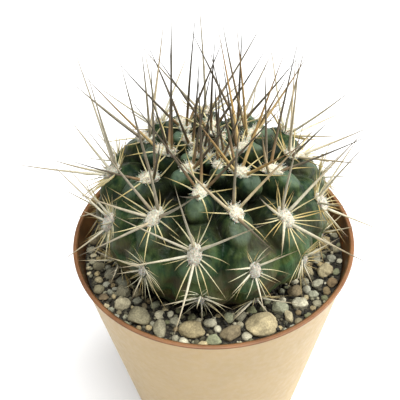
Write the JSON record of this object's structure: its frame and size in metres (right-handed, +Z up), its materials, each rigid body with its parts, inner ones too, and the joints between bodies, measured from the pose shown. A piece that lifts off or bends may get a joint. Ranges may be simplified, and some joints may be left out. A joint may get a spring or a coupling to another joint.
{
  "type": "potted eriosyce taltalensis cactus",
  "caption": "Young round cactus with woolly tubercles and long thin spines, in a small tapered plastic nursery pot dressed with grit.",
  "frame": {"origin": "centre of the pot's flat underside", "axes": "+Z up along the pot's axis, -Y towards the side that the picture shows"},
  "size_m": [0.0817, 0.0808, 0.111],
  "materials": {
    "pot": "smooth terracotta-coloured plastic, satin, a little translucent at the thin wall",
    "soil": "dark moist compost",
    "gravel": "dry matt grit and rounded pebbles in tan, grey and green",
    "cactus": "waxy dark green skin with white wool and pale spines that darken to their tips"
  },
  "bodies": {
    "root": {"pot": "pot", "soil": "soil", "gravel": "gravel", "cactus": "cactus"}
  },
  "joints": []
}
